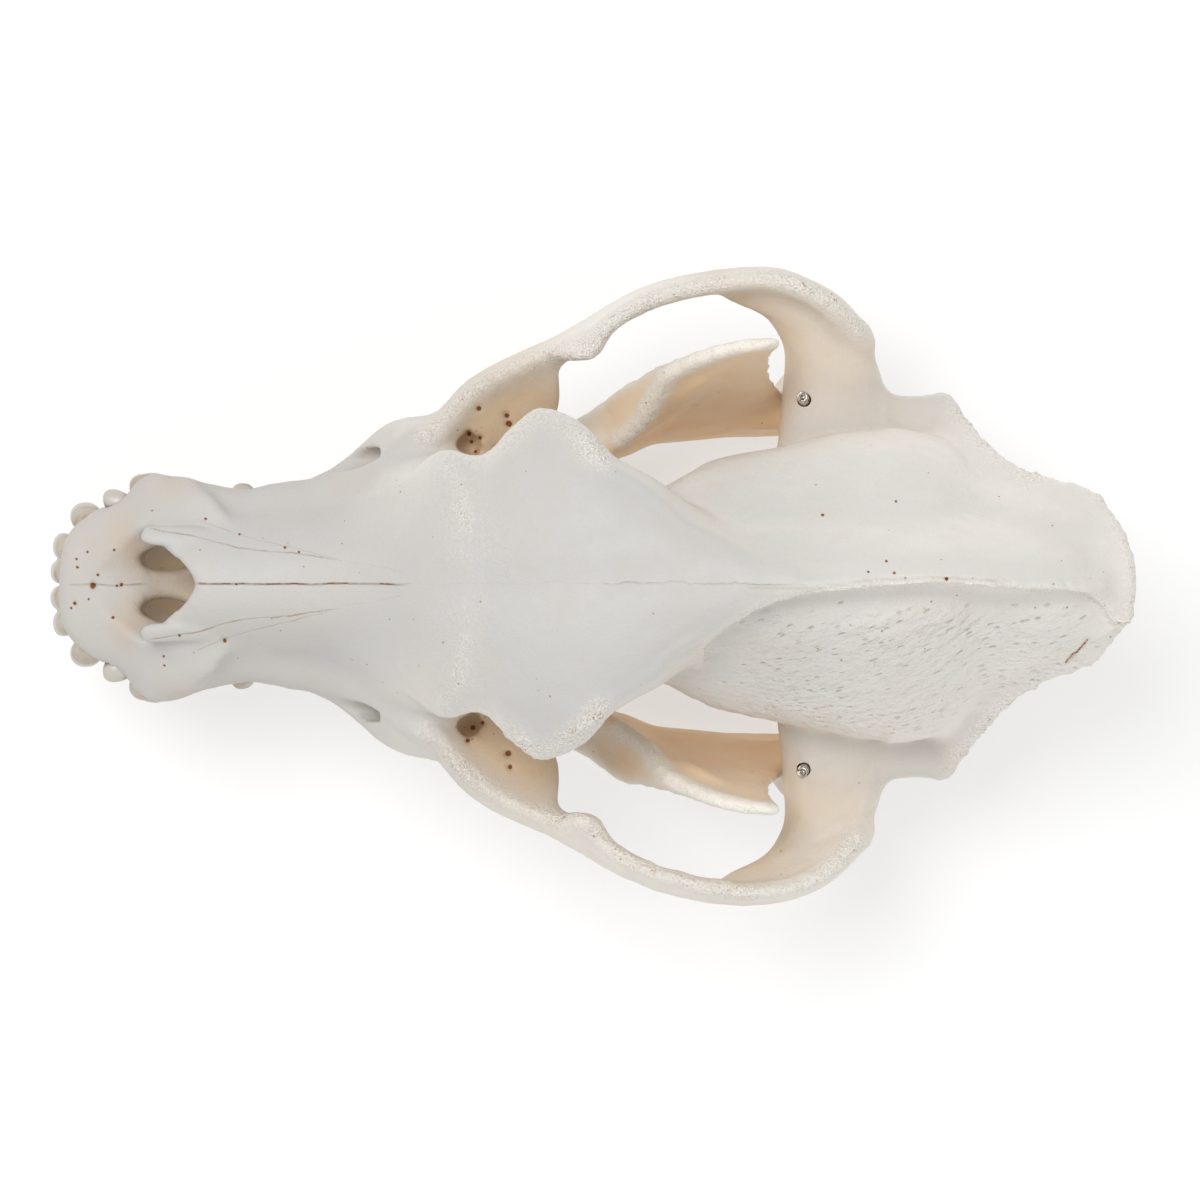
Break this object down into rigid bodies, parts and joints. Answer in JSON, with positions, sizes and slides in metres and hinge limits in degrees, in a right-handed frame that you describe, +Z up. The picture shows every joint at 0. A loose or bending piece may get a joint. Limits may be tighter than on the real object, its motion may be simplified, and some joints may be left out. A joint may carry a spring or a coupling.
{
  "type": "dog skull",
  "caption": "Life-size dog skull with its teeth and lower jaw, mouth closed, the jaw hung on small steel coil springs.",
  "frame": {"origin": "on the floor, under the middle of the bounding box", "axes": "-Y towards the nose, +Y towards the back of the head, +X towards the animal's left, +Z up"},
  "size_m": [0.1269, 0.2108, 0.099],
  "materials": {
    "bone": "dry bleached bone, matt",
    "jaw_bone": "dry bone, matt, slightly yellower",
    "steel": "dull spring wire with a little rust"
  },
  "bodies": {
    "root": {"braincase": "bone", "face": "bone", "zygomatic_left": "bone", "zygomatic_right": "bone", "mandible_left": "jaw_bone", "mandible_right": "jaw_bone", "jaw_spring_left": "steel", "jaw_spring_right": "steel"}
  },
  "joints": []
}
